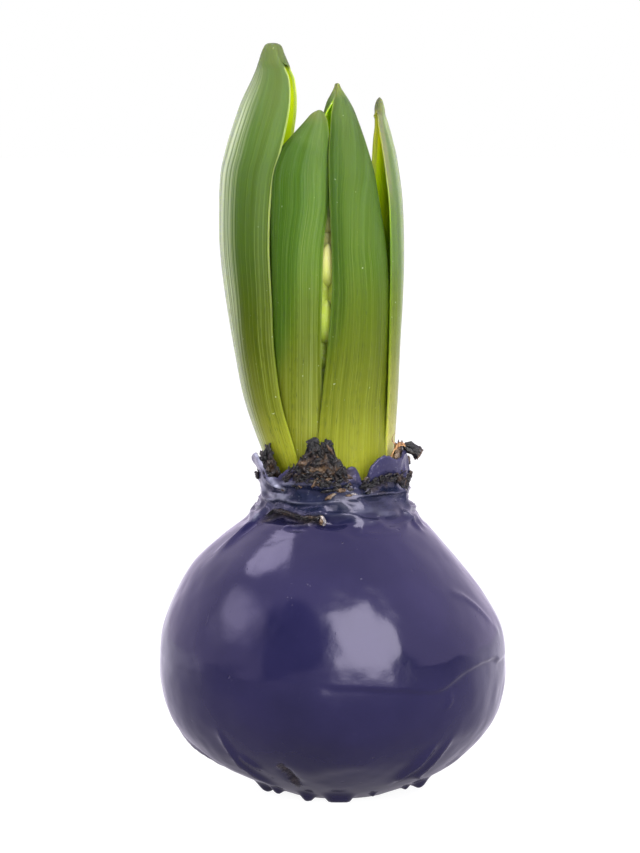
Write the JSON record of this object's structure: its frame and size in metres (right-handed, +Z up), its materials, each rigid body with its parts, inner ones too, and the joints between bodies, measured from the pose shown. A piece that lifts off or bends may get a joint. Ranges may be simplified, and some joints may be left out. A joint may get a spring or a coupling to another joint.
{
  "type": "wax-coated hyacinth bulb in early leaf",
  "caption": "Squat flowering bulb in a glossy wax coat, with upright fleshy leaves round a flower spike still in bud; it stands by itself on a flat foot.",
  "frame": {"origin": "the middle of the flat foot of the wax coat, on the bulb's axis, at the surface it stands on", "axes": "+Z up along the plant; -Y faces the viewer, where the two front leaves part; +X to the right"},
  "size_m": [0.0639, 0.0639, 0.1382],
  "materials": {
    "wax": "glossy purple-blue wax with soft dents and a dip line",
    "tunic": "dry papery brown to black bulb skin",
    "leaf": "fleshy leaf with fine veins along it, yellow-green at the foot, blue-green at the top",
    "bud": "pale green waxy flower buds"
  },
  "bodies": {
    "root": {"wax_coat": "wax", "bulb": "tunic", "leaf_left": "leaf", "leaf_front_left": "leaf", "leaf_front_right": "leaf", "leaf_right": "leaf", "leaf_back": "leaf", "flower_spike": "bud"}
  },
  "joints": []
}
